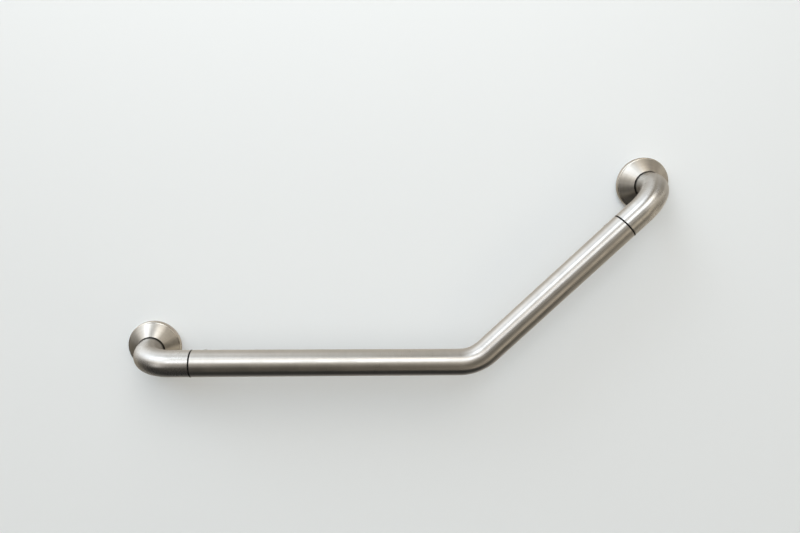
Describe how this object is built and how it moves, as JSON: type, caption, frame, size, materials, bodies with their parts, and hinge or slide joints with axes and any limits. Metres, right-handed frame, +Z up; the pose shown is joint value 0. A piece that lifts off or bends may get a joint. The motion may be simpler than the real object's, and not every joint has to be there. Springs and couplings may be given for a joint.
{
  "type": "angled grab bar",
  "caption": "Screw-fixed wall grab bar: a round stainless tube with a 45 degree bend between two elbows that turn to the wall, each foot under a sliding bell-shaped cover.",
  "frame": {"origin": "centre of the lower wall plate's back face, on the wall", "axes": "+X along the level arm from its fixing towards the bend, +Y into the wall, +Z up"},
  "size_m": [0.6769, 0.1126, 0.2769],
  "materials": {
    "brushed_stainless": "satin brushed stainless tube, the fine brush lines running round the tube",
    "spun_stainless": "spun stainless sheet, brushed in rings about the cover's axis",
    "plate_steel": "pressed stainless plate, dull mill finish",
    "screw_steel": "bright stainless fasteners",
    "black_rubber": "matt black rubber",
    "cast_alloy": "cast alloy with turned lands"
  },
  "bodies": {
    "grab_bar": {"bar_tube": "brushed_stainless", "lower_elbow": "brushed_stainless", "lower_wall_plate": "plate_steel", "lower_cover_grip_ring": "black_rubber", "lower_joint_gasket": "black_rubber", "lower_joint_spigot": "cast_alloy", "lower_grub_screw": "screw_steel", "lower_plate_screw_a": "screw_steel", "lower_plate_screw_b": "screw_steel", "lower_plate_screw_c": "screw_steel", "upper_elbow": "brushed_stainless", "upper_wall_plate": "plate_steel", "upper_cover_grip_ring": "black_rubber", "upper_joint_gasket": "black_rubber", "upper_joint_spigot": "cast_alloy", "upper_grub_screw": "screw_steel", "upper_plate_screw_a": "screw_steel", "upper_plate_screw_b": "screw_steel", "upper_plate_screw_c": "screw_steel"},
    "lower_cover": {"lower_cover": "spun_stainless"},
    "upper_cover": {"upper_cover": "spun_stainless"}
  },
  "joints": [
    {"name": "lower_cover_slide", "type": "slide", "parent": "grab_bar", "child": "lower_cover", "axis": [0, -1, 0], "range_m": [0, 0.013]},
    {"name": "upper_cover_slide", "type": "slide", "parent": "grab_bar", "child": "upper_cover", "axis": [0, -1, 0], "range_m": [0, 0.013]}
  ]
}
